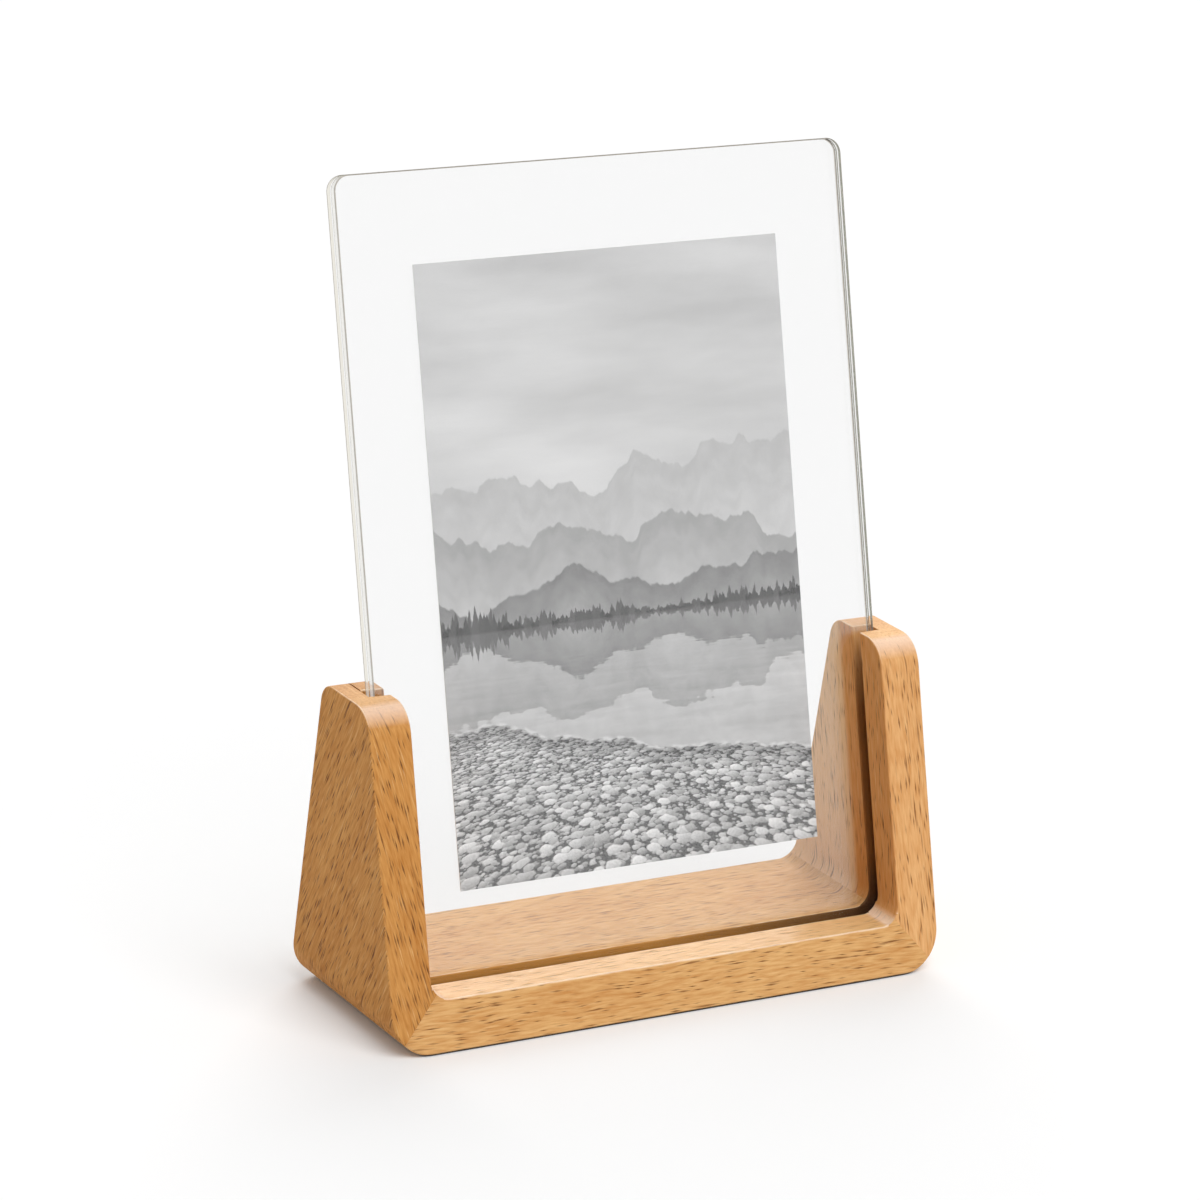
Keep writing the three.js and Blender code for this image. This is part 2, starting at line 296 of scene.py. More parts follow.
@dataclass(frozen=True, kw_only=True)
class OiledBeech(Finish):
    """Beech, planed, sanded and oiled.

    The eye sees an even satin tan with faint growth bands, and the cut ends of the wood's rays as
    short brown dashes along the grain. End grain shows fine pores and streaks instead.
    """

    pale: str
    deep: str
    # Colours from here on include painted light: painted shade in the grooves and along the foot, painted
    # highlights and sheen on shoulders, arrises, level faces and end grain, and painted bounce shade and veil
    # on the inner faces.
    groove: str = "#8a501c"
    deep_groove_shade: str = "#3c1e0a"
    inner_shade: str = "#cf7f2c"
    inner_veil: str = "#f8d8a8"
    inner_shade_share: float = 0.5
    gleam: Tint = Tint("#f0c98f", 0.4)
    ray: Tint = Tint("#5c3010", 0.95)
    rubbed_and_sheen: Tint = Tint("#ffd08a", 0.25)
    sheen_fade: float = 3.0
    shoulder_highlight: Tint = Tint("#fbe2d2", 0.5)
    shoulder_rise: Span = (0.5, 0.85)
    shoulder_fall: Span = (1.0, 0.93)
    shoulder_end: Span = (0.92, 0.72)
    end_grain_sheen: Tint = Tint("#fdeacf", 0.1)
    streak_share: float = 0.4
    pore_share: float = 0.35
    arris_highlight: Tint = Tint("#fbe3c2", 0.85)
    contact_shade: Tint = Tint("#2e2624")
    short_rays: Dashes = Dashes(8.0, 0.8, share=0.85, reach=0.42)
    long_rays: Dashes = Dashes(18.0, 1.1, share=0.55, reach=0.36)
    gleams: Dashes = Dashes(14.0, 0.8, share=0.6, reach=0.4)
    pores: Dashes = Dashes(0.85, 0.85, share=0.8, reach=0.4)
    wander: Cloud = Cloud((34.0, 10.0, 10.0), 2.0, least=-1.4, most=1.4)
    fibre: Cloud = Cloud((5.0, 0.6, 0.6), 3.0, least=-0.95, most=0.95)
    band: Cloud = Cloud((90.0, 6.0, 6.0), 4.0, most=0.6)
    blotch: Cloud = Cloud((38.0, 12.0, 12.0), 2.0, most=0.6)
    tone_span: Span = (0.05, 1.15)
    streak: Cloud = Cloud((16.0, 0.55, 0.55), 3.0, low=0.5, high=0.75)
    nick: Cloud = Cloud((6.0, 6.0, 6.0), 4.0, low=0.36, high=0.56)
    groove_shade: Span = (81.0, 62.0)
    corner_shade_across: Span = (0.0, 68.0)
    corner_shade_below: Span = (26.0, 14.0)
    foot_shade_height: Span = (11.6, 10.6)
    foot_shade_share: float = 0.4
    contact_shade_height: Span = (0.75, 0.4)
    veil_depths: Span = (4.5, 7.0)
    roughness: Span = (0.75, 0.31)
    end_roughness: float = 0.6
    fibre_gloss: float = 0.084
    fibre_relief: float = 0.263
    relief: float = 0.1
    oil_ior: float = 1.32

    def shader(self, add: AddNode) -> Socket:
        """Builds the shader from what the boards' meshes store about each face.

        Args:
            add: adds a node to the material.

        Returns:
            The shader.
        """
        stored = {name: add("Attribute", out="Fac", attribute_name=name) for name in STORED}
        grain = add("Attribute", out="Vector", attribute_name="grain")
        place = add("SeparateXYZ", [self.place(add)], "X")

        # The fibres wander from side to side, as they grew.
        sideways = add("CombineXYZ", {"Y": self.wander.draw(add, grain)})
        wood = add("VectorMath ADD", [grain, sideways])
        fibre = self.fibre.draw(add, wood)
        body = self._body(add, wood, fibre, stored)

        # Rays are thin ribbons in the wood, so a cut along the grain shows them as dashes.
        body = self.gleam.lay(add, body, self.gleams.draw(add, wood))
        rays = [dashes.draw(add, wood) for dashes in (self.short_rays, self.long_rays)]
        rays = add("Math MAXIMUM", rays)
        side_grain = add("Math SUBTRACT", [1.0, stored["end_grain"]])
        rays = add("Math MULTIPLY", [rays, side_grain])
        body = self.ray.lay(add, body, rays)

        # The level faces in front get a painted sheen that makes them paler.
        level = add("Math POWER", [stored["rubbed_and_sheen"], self.sheen_fade])
        body = self.rubbed_and_sheen.lay(add, body, level)

        # Their rounded shoulders get a painted highlight, the palest tint of all.
        painted_highlight = add("MapRange", [stored["rubbed_and_sheen"], *self.shoulder_rise])
        for measure, span in (("rubbed_and_sheen", self.shoulder_fall), ("end_grain", self.shoulder_end)):
            part = add("MapRange", [stored[measure], *span])
            painted_highlight = add("Math MULTIPLY", [painted_highlight, part])
        body = self.shoulder_highlight.lay(add, body, painted_highlight)

        # End grain, sanded fine: a painted sheen pales it; cut pores and streaks show where rings run out.
        body = self.end_grain_sheen.lay(add, body, stored["end_grain"])
        section = add("CombineXYZ", {"X": place, "Y": place.node.outputs["Y"]})
        marks = []
        for mark in (self.streak.draw(add, self.place(add)), self.pores.draw(add, section)):
            marks.append(add("Math MULTIPLY", [mark, stored["end_grain"]]))
        streaks, pores = marks
        body = Tint(self.deep, self.streak_share).lay(add, body, streaks)
        body = Tint(self.ray.colour, self.pore_share).lay(add, body, pores)

        # Painted highlights pale the arrises unevenly, most where they face up, least on the outer sides.
        uneven = add("Math MULTIPLY", [stored["arris"], self.nick.draw(add, wood)])
        body = self.arris_highlight.lay(add, body, uneven)

        # Painted shade in the grooves, darkest at the foot of the rail's groove.
        body = self._shade_grooves(add, body, place, stored["groove"])

        # Painted contact shadow: painted shade darkens the foot's arris where it meets the floor.
        contact_shade_amount = add("MapRange", [place.node.outputs["Z"], *self.contact_shade_height])
        body = self.contact_shade.lay(add, body, contact_shade_amount)

        # Hands and cloths rub the upward faces smoother than the sides. End grain drinks oil and stays dull.
        rough = add("MapRange", [stored["rubbed_and_sheen"], 0.0, 1.0, *self.roughness])
        rough = add("Mix FLOAT", [stored["end_grain"], rough, self.end_roughness])
        rough = add("Math MULTIPLY_ADD", [fibre, self.fibre_gloss, rough])
        sunk = add("Math ADD", [rays, pores])
        height = add("Math MULTIPLY", [fibre, self.fibre_relief])
        height = add("Math SUBTRACT", [height, sunk])
        bump = add("Bump", {"Height": height, "Strength": 1.0, "Distance": self.relief * MM})
        surface = {"Base Color": body, "Roughness": rough, "IOR": self.oil_ior, "Normal": bump}
        return add("BsdfPrincipled", surface)

    def _body(self, add: AddNode, wood: Socket, fibre: Socket, stored: Mapping[str, Socket]) -> Socket:
        """Colours the body: fine fibres in broad bands of growth, and here and there a warmer patch.

        The inner faces get a redder painted shade, as of light bounced between the boards.
        Behind the sheets they get a paler painted veil instead.

        Args:
            add: adds a node to the material.
            wood: where each point is in the wandering grain, in millimetres.
            fibre: the fibres' tone.
            stored: what the meshes store.

        Returns:
            The colour.
        """
        tone = fibre
        for cloud in (self.band, self.blotch):
            tone = add("Math ADD", [tone, cloud.draw(add, wood)])
        tone = add("MapRange", [tone, *self.tone_span])
        body = add("Mix RGBA", [tone, linear(self.pale), linear(self.deep)])
        veil_amount = add("MapRange", [stored["depth"], *self.veil_depths])
        inner_light = add("Mix RGBA", [veil_amount, linear(self.inner_shade), linear(self.inner_veil)])
        toning = add("Math MULTIPLY", [stored["inner"], self.inner_shade_share])
        return add("Mix RGBA", [toning, body, inner_light])

    def _shade_grooves(self, add: AddNode, body: Socket, place: Socket, groove: Socket) -> Socket:
        """Paints shade into the grooves, deeper towards their foot.

        The painted shade is deepest along the foot of the rail's groove, and most in its right corner.

        Args:
            add: adds a node to the material.
            body: the colour of the other faces.
            place: where each point is, as the X of three outputs in millimetres.
            groove: 1 in a groove and 0 elsewhere.

        Returns:
            The colour.
        """
        height = place.node.outputs["Z"]
        groove_shade_amount = add("MapRange", [height, *self.groove_shade])
        groove_shade_amount = add("Math MULTIPLY", [groove, groove_shade_amount])
        across = add("MapRange", [place, *self.corner_shade_across])
        corner = add("MapRange", [height, *self.corner_shade_below])
        corner = add("Math MULTIPLY", [corner, across])
        foot_shade_amount = add("MapRange", [height, *self.foot_shade_height, 0.0, self.foot_shade_share])
        foot_shade_amount = add("Math MAXIMUM", [foot_shade_amount, corner])
        groove_shade_colour = add("Mix RGBA", [foot_shade_amount, linear(self.groove), linear(self.deep_groove_shade)])
        return add("Mix RGBA", [groove_shade_amount, body, groove_shade_colour])


@dataclass(frozen=True, kw_only=True)
class Mottled(Finish):
    """A plain surface in two close tones, with a fine mottle."""

    pale: str
    deep: str
    mottle: Cloud
    relief: float
    roughness: float

    def shader(self, add: AddNode) -> Socket:
        """Builds the shader.

        Args:
            add: adds a node to the material.

        Returns:
            The shader.
        """
        mottle = self.mottle.draw(add, self.place(add))
        body = add("Mix RGBA", [mottle, linear(self.pale), linear(self.deep)])
        bump = add("Bump", {"Height": mottle, "Strength": 1.0, "Distance": self.relief * MM})
        return add("BsdfPrincipled", {"Base Color": body, "Roughness": self.roughness, "Normal": bump})


# Beech rod, turned and left bare: paler than the stand, with fine marks all round it.
TURNED_DOWEL = Mottled(
    name="beech_dowel_turned",
    pale="#dcb98a",
    deep="#c79c66",
    mottle=Cloud((0.5, 0.5, 0.5), 3.0),
    relief=0.02,
    roughness=0.62,
)
# Back of photographic paper: resin-coated, smooth and white, with a faint fibre mottle.
PAPER_BACK = Mottled(
    name="photographic_paper_back",
    pale="#efefec",
    deep="#e4e4e0",
    mottle=Cloud((2.5, 2.5, 2.5), 4.0),
    relief=0.0,
    roughness=0.55,
)


@dataclass(frozen=True, kw_only=True)
class ClearAcrylic(Finish):
    """Clear acrylic, which throws almost no shadow."""

    shade: str = "#f9f9f9"

    def lit_through(self, add: AddNode, seen: Socket) -> Socket:
        """Lets the light that falls through the acrylic pass straight on.

        Args:
            add: adds a node to the material.
            seen: the shader that the eye sees.

        Returns:
            The whole shader.
        """
        clear = add("BsdfTransparent", [linear(self.shade)])
        shadow = add("LightPath", out="Is Shadow Ray")
        scattered = shadow.node.outputs["Is Diffuse Ray"]
        falling = add("Math MAXIMUM", [shadow, scattered])
        return add("MixShader", [falling, seen, clear])


@dataclass(frozen=True, kw_only=True)
class CastFace(ClearAcrylic):
    """Face of a clear cast acrylic sheet.

    The eye sees through it with a faint loss, and sees soft white reflections that waver a little
    because a cast face is not quite flat.
    """

    name: str = "acrylic_sheet_cast"
    tint: str = "#fbfbfb"
    waves: Cloud = Cloud((45.0, 45.0, 45.0), 1.0)
    wave_height: float = 0.004
    roughness: float = 0.0
    shaded_foot: Span = (6.8, 8.4)

    def shader(self, add: AddNode) -> Socket:
        """Builds the shader: glass for the eye, and clear for the light that falls through it.

        Args:
            add: adds a node to the material.

        Returns:
            The shader.
        """
        place = self.place(add)
        waves = self.waves.draw(add, place)
        bump = add("Bump", {"Height": waves, "Strength": 1.0, "Distance": self.wave_height * MM})

        # Painted shade: the sheet's shine is painted weaker at its foot, which stands in the groove's shade.
        height = add("SeparateXYZ", [place], "Z")
        shine = add("MapRange", [height, *self.shaded_foot])
        surface = {"Base Color": linear(self.tint), "Roughness": self.roughness, "IOR": ACRYLIC_IOR}
        clear = {"Specular Tint": shine, "Transmission Weight": 1.0, "Normal": bump}
        return self.lit_through(add, add("BsdfPrincipled", {**surface, **clear}))


@dataclass(frozen=True, kw_only=True)
class PolishedEdge(ClearAcrylic):
    """Sawn edge of clear acrylic, polished.

    Light that enters an edge stays between the faces and leaves at the far edge. The edge paints this
    as a glow that shines whatever the lamps do, mixed with what is behind it: pale on a side edge, and
    a grey painted shade on top, whose far end is down in the groove. Seen from inside the sheet, it
    shows an olive painted reflection. Arrises show as painted lines of highlight and shade.
    Each row of colours lists the depth from the sheet's front at which a colour starts.
    """

    outside: tuple[tuple[float, str], ...]
    inside: tuple[tuple[float, str], ...]
    top: str = "#c2bcb3"
    painted_glow: float = 0.5
    blend: float = 0.15
    streak: Cloud = Cloud((7.0, 0.5, 7.0), 3.0)
    streak_base: float = 0.1
    side_span: Span = (0.1, 0.45)
    mirror_roughness: float = 0.03

    def shader(self, add: AddNode) -> Socket:
        """Builds the shader from the way each part of the edge faces.

        Args:
            add: adds a node to the material.

        Returns:
            The shader.
        """
        place = self.place(add)
        normal = add("TexCoord", out="Normal")
        sideways = add("SeparateXYZ", [normal], "X")
        lit = add("Math MULTIPLY", [sideways, sideways])
        streaky = [lit, self.streak.draw(add, place), self.streak_base]
        lit = add("Math MULTIPLY_ADD", streaky)
        lit = add("MapRange", [lit, *self.side_span])
        # Painted glow and shade: pale where the edge faces the side, grey where it faces up.
        side = self._layers(add, place, self.outside)
        through = add("Mix RGBA", [lit, linear(self.top), side])
        passed = add("BsdfTransparent", [through])
        # A painted glow: the edge shines with its own colour, as no lamp does.
        painted_glow_shader = add("Emission", {"Color": through, "Strength": 1.0})
        edge_glow = add("MixShader", [self.painted_glow, passed, painted_glow_shader])
        # Painted reflection: the colours seen from inside the sheet tint its mirror darker and olive.
        mirror = {"Color": self._layers(add, place, self.inside), "Roughness": self.mirror_roughness}
        mirror = add("BsdfAnisotropic", mirror)
        fresnel = add("Fresnel", {"IOR": ACRYLIC_IOR})
        return self.lit_through(add, add("MixShader", [fresnel, edge_glow, mirror]))

    def _layers(self, add: AddNode, place: Socket, row: Sequence[tuple[float, str]]) -> Socket:
        """Colours the edge by depth.

        Args:
            add: adds a node to the material.
            place: where each point is on the sheet, in millimetres.
            row: the depths at which colours start, and the colours.

        Returns:
            The colour.
        """
        depth = add("SeparateXYZ", [place], "Y")
        colour = linear(row[0][1])
        for start, after in row[1:]:
            step = add("MapRange", [depth, start - self.blend, start + self.blend])
            colour = add("Mix RGBA", [step, colour, linear(after)])
        return colour


@dataclass(frozen=True)
class FlatCloud(Cloud):
    """Soft noise in the plane of the print."""

    dimensions: str = "2D"

    def over(self, add: AddNode, across: Socket, up: Socket | float) -> Socket:
        """Draws the noise over a place across and a place up."""
        return self.draw(add, add("CombineXYZ", {"X": across, "Y": up}))


@dataclass(frozen=True)
class Ridge:
    """One ridge of hills on the print: its crest in millimetres above the far shore, and its tones."""

    foot: float
    rise: float
    width: float
    tone: float
    mist: float
    place: float


@dataclass(frozen=True)
class Stones:
    """One size of stones: how many fit where one of the largest does, and the darkest and palest tone."""

    count: float
    tones: Span


@dataclass
class Landscape:
    """The picture on the print: a lake below misty ridges, with a pebble shore in front.

    Each method lays what it draws over the tone so far. Tones are shares of white. Places are millimetres
    on the print: across from its middle, up from its foot, below the far shore, and height above that shore,
    or below it in the lake, which shows the scene again upside down.
    """

    add: AddNode
    across: Socket
    up: Socket
    below: Socket = field(init=False)
    height: Socket = field(init=False)
    tone: Socket = field(init=False)
    far_shore: float = 62.0
    sky_height: float = 95.0
    sky_tones: Span = (0.70, 0.59)
    clouds: FlatCloud = FlatCloud((64.0, 15.0, 1.0), 5.0, low=0.3, least=-0.07, most=0.16)
    ridges: tuple[Ridge, ...] = (
        Ridge(foot=14.0, rise=46.0, width=44.0, tone=0.52, mist=0.10, place=3.7),
        Ridge(foot=4.0, rise=36.0, width=34.0, tone=0.40, mist=0.16, place=11.2),
        Ridge(foot=-3.0, rise=24.0, width=27.0, tone=0.27, mist=0.15, place=27.9),
    )
    crest_detail: float = 9.0
    crest_roughness: float = 0.52
    crest_edge: Span = (-0.2, 0.35)
    slopes: FlatCloud = FlatCloud((5.0, 4.0, 1.0), 5.0, least=-0.06, most=0.06)
    mist_reach: float = 0.55
    tree_rows: int = 3
    row_shift: float = 7.3
    tree_width: float = 1.9
    tree_height: Span = (1.5, 7.5)
    tree_taper: Span = (1.0, 0.15)
    tree_reach: float = 0.62
    tree_edge: Span = (-0.15, 0.25)
    tree_tones: Span = (0.10, 0.18)
    branches: FlatCloud = FlatCloud((0.8, 0.9, 1.0), 3.0, least=-0.75, most=0.75)
    woods: FlatCloud = FlatCloud((30.0, 30.0, 1.0), 2.0, low=0.36, high=0.62, least=0.12)
    lake_edge: Span = (-0.2, 0.4)
    lake_share: float = 0.86
    lake_sheen: Span = (0.03, 0.07)
    waves: FlatCloud = FlatCloud((0.9, 0.0035, 1.0), 3.0, least=-0.5, most=0.5)
    wave_start: float = 3.0
    wave_span: float = 40.0
    wave_reach: float = 11.0
    near_shore: float = 31.0
    shore_slope: float = -0.16
    shore_bend: FlatCloud = FlatCloud((26.0, 26.0, 1.0), 4.0, least=-8.0, most=8.0)
    shore_edge: Span = (-0.25, 0.25)
    beach_start: float = 20.0
    beach_shadow: float = 0.17
    stone_width: float = 5.6
    stone_height: float = 3.6
    stones: tuple[Stones, ...] = (
        Stones(2.6, (0.32, 0.52)),
        Stones(1.7, (0.38, 0.64)),
        Stones(1.0, (0.44, 0.76)),
    )
    stone_reach: Span = (0.22, 0.56)
    stone_rim: float = 0.09
    stone_bend: Triple = (0.35, 0.35, 0.0)
    bend_scale: float = 1.9
    stone_light: Triple = (-0.165, 0.341, 0.0)
    specks: FlatCloud = FlatCloud((0.7, 0.6, 1.0), 4.0, least=-0.12, most=0.12)
    wet_width: float = 5.0
    wet_share: float = 0.55
    foam_width: Span = (0.9, 0.2)
    foam_tone: float = 0.72
    foam: FlatCloud = FlatCloud((3.0, 1.2, 1.0), 4.0, low=0.42, high=0.6, most=0.8)

    def draw(self) -> Socket:
        """Draws the picture from the far sky to the near shore.

        Returns:
            Its tone.
        """
        self.below = self.add("Math SUBTRACT", [self.far_shore, self.up])

        # Ripples shift what the lake shows, less the further away they are.
        away = self.add("Math ADD", [self.below, self.wave_start])
        away = self.add("Math MAXIMUM", [away, 1.0])
        waves = self.waves.over(self.add, *self._perspective(away))
        reach = self.add("MapRange", [self.below, 0.0, self.wave_span, 0.0, self.wave_reach])
        ripple = self.add("Math MULTIPLY", [waves, reach])
        self.height = self.add("Math ADD", [self.add("Math ABSOLUTE", [self.below]), ripple])

        shade = self.add("MapRange", [self.height, 0.0, self.sky_height, *self.sky_tones])
        self.tone = self.add("Math ADD", [shade, self.clouds.over(self.add, self.across, self.height)])
        for ridge in self.ridges:
            self._ridge(ridge)
        self._trees()
        sheen = self.add("Math MULTIPLY_ADD", [ripple, *self.lake_sheen])
        water = self.add("Math MULTIPLY_ADD", [self.tone, self.lake_share, sheen])
        self._lay(self.add("MapRange", [self.below, *self.lake_edge]), water)
        self._beach()
        return self.tone

    def _lay(self, cover: Socket, tone: Socket | float) -> None:
        """Lays a tone over the picture, as far as its cover says."""
        self.tone = self.add("Mix FLOAT", [cover, self.tone, tone])

    def _perspective(self, away: Socket) -> tuple[Socket, Socket]:
        """Gives the place across and the distance on level ground that many millimetres below the horizon."""
        return self.add("Math DIVIDE", [self.across, away]), self.add("Math DIVIDE", [1.0, away])

    def _ridge(self, ridge: Ridge) -> None:
        """Draws one ridge, which fades into mist towards its foot.

        Args:
            ridge: the ridge to draw.
        """
        place = self.add("Math MULTIPLY_ADD", [self.across, 1 / ridge.width, ridge.place])
        line = [place, 1.0, self.crest_detail, self.crest_roughness]
        crest = self.add("TexNoise", line, noise_dimensions="1D")
        crest = self.add("MapRange", [crest, 0.0, 1.0, ridge.foot, ridge.foot + ridge.rise])
        under = self.add("Math SUBTRACT", [crest, self.height])
        misty = (ridge.tone, ridge.tone + ridge.mist)
        tone = self.add("MapRange", [under, 0.0, ridge.rise * self.mist_reach, *misty])
        tone = self.add("Math ADD", [tone, self.slopes.over(self.add, self.across, under)])
        self._lay(self.add("MapRange", [under, *self.crest_edge]), tone)

    def _trees(self) -> None:
        """Draws dark rows of conifers along the far shore."""
        branches = self.branches.over(self.add, self.across, self.height)
        woods = self.woods.over(self.add, self.across, 0.0)
        for row in range(self.tree_rows):
            spread = self.add("Math MULTIPLY_ADD", [self.across, 1 / self.tree_width, self.row_shift * row])
            trunk = self.add("TexVoronoi", [spread, 1.0], "Distance", voronoi_dimensions="1D")
            chance = self.add("SeparateColor", [trunk.node.outputs["Color"]], "Red")
            tip = self.add("MapRange", [chance, 0.0, 1.0, *self.tree_height])
            tip = self.add("Math MULTIPLY", [tip, woods])
            taper = self.add("MapRange", [trunk, 0.0, self.tree_reach, *self.tree_taper])
            edge = self.add("Math MULTIPLY_ADD", [tip, taper, branches])
            under = self.add("Math SUBTRACT", [edge, self.height])
            dark = self.add("MapRange", [chance, 0.0, 1.0, *self.tree_tones])
            self._lay(self.add("MapRange", [under, *self.tree_edge]), dark)

    def _beach(self) -> None:
        """Draws the pebble shore in front, in perspective towards the far shore."""
        bend = self.shore_bend.over(self.add, self.across, 0.0)
        line = self.add("Math ADD", [bend, self.near_shore])
        line = self.add("Math MULTIPLY_ADD", [self.across, self.shore_slope, line])
        dry = self.add("Math SUBTRACT", [line, self.up])
        away = self.add("Math MAXIMUM", [self.below, self.beach_start])
        spread, distance = self._perspective(away)
        ground = self.add("CombineXYZ", {"X": spread, "Y": distance})
        scale = (self.far_shore / self.stone_width, self.far_shore**2 / self.stone_height, 1.0)
        ground = self.add("Mapping", {"Vector": ground, "Scale": scale})
        tone = self.beach_shadow
        for stones in self.stones:
            tone = self._stones(ground, stones, tone)
        tone = self.add("Math ADD", [tone, self.specks.over(self.add, self.across, self.up)])

        # Stones at the water's edge are wet and dark, below a broken pale line.
        wet = self.add("MapRange", [dry, 0.0, self.wet_width, self.wet_share, 1.0])
        tone = self.add("Math MULTIPLY", [tone, wet])
        self._lay(self.add("MapRange", [dry, *self.shore_edge]), tone)
        reach = self.add("Math ABSOLUTE", [dry])
        foam = self.add("MapRange", [reach, *self.foam_width])
        patchy = self.foam.over(self.add, self.across, self.up)
        self._lay(self.add("Math MULTIPLY", [foam, patchy]), self.foam_tone)

    def _stones(self, ground: Socket, stones: Stones, behind: Socket | float) -> Socket:
        """Lays one size of round stones on what is under them.

        Args:
            ground: where each point is on the beach, in widths of the largest stones.
            stones: the stones to lay.
            behind: the tone of what is under them.

        Returns:
            The tone with the stones on top.
        """
        bent = self.add("TexNoise", [ground, self.bend_scale * stones.count, 2.0], "Color")
        bent = self.add("VectorMath MULTIPLY", [bent, self.stone_bend])
        spread = self.add("VectorMath MULTIPLY", [ground, (stones.count, stones.count, 0.0)])
        place = self.add("VectorMath ADD", [spread, bent])
        middle = self.add("TexVoronoi", [place, 1.0], "Distance", voronoi_dimensions="2D")
        chance = self.add("SeparateColor", [middle.node.outputs["Color"]], "Red")
        size = self.add("MapRange", [chance.node.outputs["Green"], 0.0, 1.0, *self.stone_reach])
        rim = self.add("Math SUBTRACT", [size, self.stone_rim])
        cover = self.add("MapRange", [middle, size, rim])
        body = self.add("MapRange", [chance, 0.0, 1.0, *stones.tones])
        offset = self.add("VectorMath SUBTRACT", [place, middle.node.outputs["Position"]])
        slope = self.add("VectorMath DOT_PRODUCT", [offset, self.stone_light], "Value")
        lit = self.add("Math ADD", [slope, body])
        return self.add("Mix FLOAT", [cover, behind, lit])


@dataclass(frozen=True, kw_only=True)
class LandscapePrint(Finish):
    """Photographic paper, printed in black and white.

    The eye sees soft greys without a border, fine film grain, and a satin paper surface.
    """

    name: str = "photographic_paper_printed"
    film: Cloud = Cloud((0.3, 0.3, 0.3), 1.0, least=-0.06, most=0.06)
    veil: float = 0.08
    passed: float = 0.84
    roughness: float = 0.45

    def shader(self, add: AddNode) -> Socket:
        """Builds the shader from the print's own flat coordinates.

        Args:
            add: adds a node to the material.

        Returns:
            The shader.
        """
        flat = self.place(add)
        across = add("SeparateXYZ", [flat], "X")
        tone = Landscape(add, across, across.node.outputs["Z"]).draw()
        tone = add("Math ADD", [tone, self.film.draw(add, flat)])

        # The sheets in front lay a veil over the print and pass a little less than all of it.
        full = (1 - self.veil) / self.passed
        ink = add("MapRange", [tone, self.veil, 1.0, 0.0, full])
        return add("BsdfPrincipled", {"Base Color": ink, "Roughness": self.roughness})


@dataclass(frozen=True, kw_only=True)
class PaleFloor(Finish):
    """Matt white studio sweep, lit a little from below, so it shows white and its shadows stay light."""

    name: str = "studio_sweep_matt"
    white: str = "#f1f1f1"
    glow: float = 0.22
    crack: float = 8.0

    def shader(self, add: AddNode) -> Socket:
        """Builds the shader, whose glow the eye sees also in gloss and through the sheets.

        Args:
            add: adds a node to the material.

        Returns:
            The shader.
        """
        matt = add("BsdfDiffuse", {"Color": linear(self.white)})
        glowing = add("Emission", {"Color": linear("#ffffff"), "Strength": 1.0})
        seen = add("LightPath", out="Is Camera Ray")
        paths = seen.node.outputs
        for path in ("Is Glossy Ray", "Is Transmission Ray"):
            seen = add("Math MAXIMUM", [seen, paths[path]])
        shown = add("Math MULTIPLY", [seen, self.glow])
        open_floor = add("AmbientOcclusion", {"Distance": self.crack * MM}, "AO")
        shown = add("Math MULTIPLY", [shown, open_floor])
        return add("MixShader", [shown, matt, glowing])


@dataclass(frozen=True)
class Lean:
    """The leaning frame of the sheets and the print: across, rearward and up the lean."""

    up: Vector

    @classmethod
    def from_joints(cls) -> Lean:
        """Reads the lean from the way the sheets lift out of the stand."""
        return cls(Vector(frame["joints"][0]["axis"]).normalized())

    @property
    def rearward(self) -> Vector:
        """The direction square to the sheets, away from the viewer."""
        return Vector((0.0, self.up.z, -self.up.y))

    @property
    def axes(self) -> tuple[Vector, Vector, Vector]:
        """The directions across, rearward and up the lean."""
        return RIGHT, self.rearward, self.up

    def extent(self, node: str) -> tuple[Vector, Vector]:
        """Measures a node along the leaning axes.

        Args:
            node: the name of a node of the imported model.

        Returns:
            The lowest and highest values across, rearward and up the lean, in metres.
        """
        places = [vertex.co for vertex in frame["nodes"][node].data.vertices]
        spans = [[place.dot(axis) for place in places] for axis in self.axes]
        return Vector([min(span) for span in spans]), Vector([max(span) for span in spans])

    def stand_up(self, piece: bpy.types.Object, node: str) -> None:
        """Stands a piece in its node's place.

        Args:
            piece: the piece, drawn along the leaning axes from the middle of its foot, in front.
            node: the name of the node.
        """
        low, high = self.extent(node)
        foot = Vector(((low.x + high.x) / 2, low.y, low.z))
        piece.matrix_world = Matrix(self.axes).transposed().to_4x4() @ Matrix.Translation(foot)


@dataclass(frozen=True)
class Board:
    """One piece of beech in the stand, with the way its grain runs and its place in the log."""

    node: str
    finish: OiledBeech
    along: Vector
    log_place: Vector
    outward: Vector = field(default_factory=Vector)
    outer_along: Vector | None = None
    outer_from: float = 0.35
    along_from: float = 0.9

    def axes_at(self, normal: Vector, facings: Sequence[Vector]) -> tuple[Vector, Vector, Vector]:
        """Picks the axes of the wood at a face.

        Args:
            normal: the way the face looks.
            facings: the ways that the stand's main faces look.

        Returns:
            Along the grain, across it, and into the board.
        """
        along = self.along
        if self.outer_along is not None and normal.dot(self.outward) > self.outer_from:
            along = self.outer_along
        along = along.normalized()
        square = [facing for facing in facings if abs(facing.dot(along)) < self.along_from]
        inward = max(square, key=lambda facing: abs(facing.dot(normal)))
        across = along.cross(inward).normalized()
        return along, across, across.cross(along)


